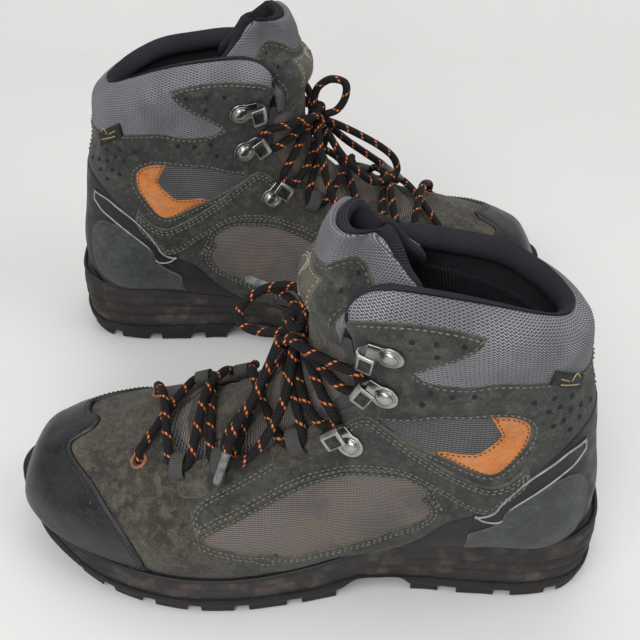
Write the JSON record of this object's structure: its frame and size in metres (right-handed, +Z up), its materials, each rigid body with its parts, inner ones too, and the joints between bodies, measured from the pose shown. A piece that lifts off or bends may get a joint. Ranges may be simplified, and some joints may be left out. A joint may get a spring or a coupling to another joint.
{
  "type": "mountaineering boots",
  "caption": "Pair of laced ankle boots for mountain walking, with suede uppers, rubber toe caps, padded knit collars, lace hooks and lugged soles.",
  "frame": {"origin": "centre of the pair at ground level", "axes": "+Z up, the left boot in front with its toe towards -X, the right boot behind it with its toe towards +X"},
  "size_m": [0.3034, 0.2967, 0.216],
  "materials": {
    "outsole_rubber": "matt moulded tread rubber",
    "midsole_foam": "worn polyurethane",
    "shank_steel": "plain",
    "board_fibre": "pressed fibre",
    "footbed_felt": "felt over foam",
    "cap_rubber": "satin rubber, worn at the toe",
    "stiffener": "plain",
    "vamp_suede": "worn brown-olive suede",
    "quarter_suede": "dark grey-green suede",
    "frame_plastic": "moulded, with a silver outline",
    "patch_suede": "blue-grey suede",
    "orange_suede": "orange nubuck",
    "knit": "grey zig-zag knit over foam",
    "lining_fabric": "black mesh",
    "tongue_suede": "olive suede",
    "badge_leather": "debossed",
    "hook_steel": "polished, lightly worn",
    "webbing": "grey webbing",
    "eyelet_rim": "rust-brown punched rim",
    "lace": "black braid with orange flecks",
    "aglet_film": "clear film",
    "label_fabric": "black with a gold mark"
  },
  "bodies": {
    "left_boot": {"left_outsole": "outsole_rubber", "left_midsole": "midsole_foam", "left_shank": "shank_steel", "left_lasting_board": "board_fibre", "left_toe_cap": "cap_rubber", "left_toe_puff": "stiffener", "left_vamp": "vamp_suede", "left_quarter_outer": "quarter_suede", "left_quarter_inner": "quarter_suede", "left_heel_counter": "stiffener", "left_heel_frame": "frame_plastic", "left_heel_patch": "patch_suede", "left_ankle_insert": "orange_suede", "left_collar": "knit", "left_lining": "lining_fabric", "left_tongue": "tongue_suede", "left_hook_overlays": "quarter_suede", "left_cuff_hooks": "hook_steel", "left_instep_hooks": "hook_steel", "left_hook_rivets": "hook_steel", "left_lace_loops": "webbing", "left_toe_eyelets": "eyelet_rim", "left_lacing": "lace", "left_bow_loops": "lace", "left_lace_tails": "lace", "left_aglets": "aglet_film", "left_label_tag": "label_fabric"},
    "left_flap": {"left_tongue_flap": "knit", "left_tongue_badge": "badge_leather"},
    "left_insole": {"left_footbed": "footbed_felt"},
    "right_boot": {"right_outsole": "outsole_rubber", "right_midsole": "midsole_foam", "right_shank": "shank_steel", "right_lasting_board": "board_fibre", "right_toe_cap": "cap_rubber", "right_toe_puff": "stiffener", "right_vamp": "vamp_suede", "right_quarter_outer": "quarter_suede", "right_quarter_inner": "quarter_suede", "right_heel_counter": "stiffener", "right_heel_frame": "frame_plastic", "right_heel_patch": "patch_suede", "right_ankle_insert": "orange_suede", "right_collar": "knit", "right_lining": "lining_fabric", "right_tongue": "tongue_suede", "right_hook_overlays": "quarter_suede", "right_cuff_hooks": "hook_steel", "right_instep_hooks": "hook_steel", "right_hook_rivets": "hook_steel", "right_lace_loops": "webbing", "right_toe_eyelets": "eyelet_rim", "right_lacing": "lace", "right_bow_loops": "lace", "right_lace_tails": "lace", "right_aglets": "aglet_film", "right_label_tag": "label_fabric"},
    "right_flap": {"right_tongue_flap": "knit", "right_tongue_badge": "badge_leather"},
    "right_insole": {"right_footbed": "footbed_felt"}
  },
  "joints": [
    {"name": "right_boot_lift", "type": "slide", "parent": "left_boot", "child": "right_boot", "axis": [0, 0, 1], "range_m": [0, 0.2]},
    {"name": "left_tongue_fold", "type": "hinge", "parent": "left_boot", "child": "left_flap", "pos_m": [0.00242, -0.09011, 0.164], "axis": [-0.1115, -0.9938, 0], "range_deg": [0, 25]},
    {"name": "left_footbed_lift", "type": "hinge", "parent": "left_boot", "child": "left_insole", "pos_m": [-0.13671, -0.07451, 0.031], "axis": [-0.1115, -0.9938, 0], "range_deg": [0, 7]},
    {"name": "right_tongue_fold", "type": "hinge", "parent": "right_boot", "child": "right_flap", "pos_m": [-0.00281, 0.09499, 0.164], "axis": [-0.0645, 0.9979, 0], "range_deg": [0, 25]},
    {"name": "right_footbed_lift", "type": "hinge", "parent": "right_boot", "child": "right_insole", "pos_m": [0.1369, 0.10402, 0.031], "axis": [-0.0645, 0.9979, 0], "range_deg": [0, 7]}
  ]
}
